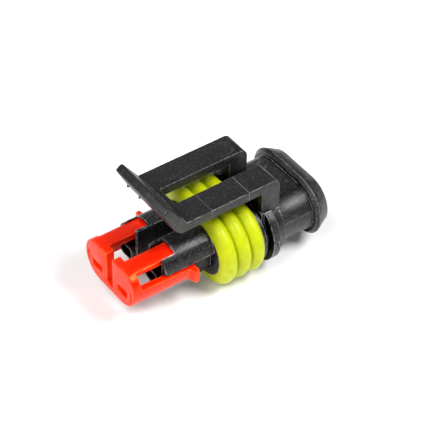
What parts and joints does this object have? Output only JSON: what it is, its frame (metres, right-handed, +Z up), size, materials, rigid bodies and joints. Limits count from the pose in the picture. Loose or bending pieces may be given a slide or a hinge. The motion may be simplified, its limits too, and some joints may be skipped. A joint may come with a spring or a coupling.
{
  "type": "sealed automotive plug connector",
  "caption": "Sealed in-line plug housing for flat-tab contacts, with a rocking latch, a sliding secondary lock and a ribbed ring seal.",
  "frame": {"origin": "centre of the wire end's flat face, on the housing's axis midway between the contacts", "axes": "+X from the wire end to the mating end, +Z up towards the latch, +Y to the left seen from the wire end"},
  "size_m": [0.0317, 0.0172, 0.0186],
  "materials": {
    "black_plastic": "fine spark-eroded satin",
    "red_plastic": "smooth moulded",
    "seal_rubber": "silicone, soft gloss",
    "contact_metal": "tin plated",
    "wire_seal_rubber": "silicone"
  },
  "bodies": {
    "body": {"housing": "black_plastic", "ring_seal": "seal_rubber", "contact_1": "contact_metal", "contact_2": "contact_metal", "wire_seal_1": "wire_seal_rubber", "wire_seal_2": "wire_seal_rubber"},
    "latch": {"latch_lever": "black_plastic"},
    "lock": {"secondary_lock": "red_plastic"}
  },
  "joints": [
    {"name": "latch_lift", "type": "hinge", "parent": "body", "child": "latch", "pos_m": [0.00928, 0, 0.0044], "axis": [0, -1, 0], "range_deg": [0, 8], "stiffness_Nm_per_rad": 0.8},
    {"name": "lock_slide", "type": "slide", "parent": "body", "child": "lock", "axis": [-1, 0, 0], "range_m": [0, 0.0026]}
  ]
}
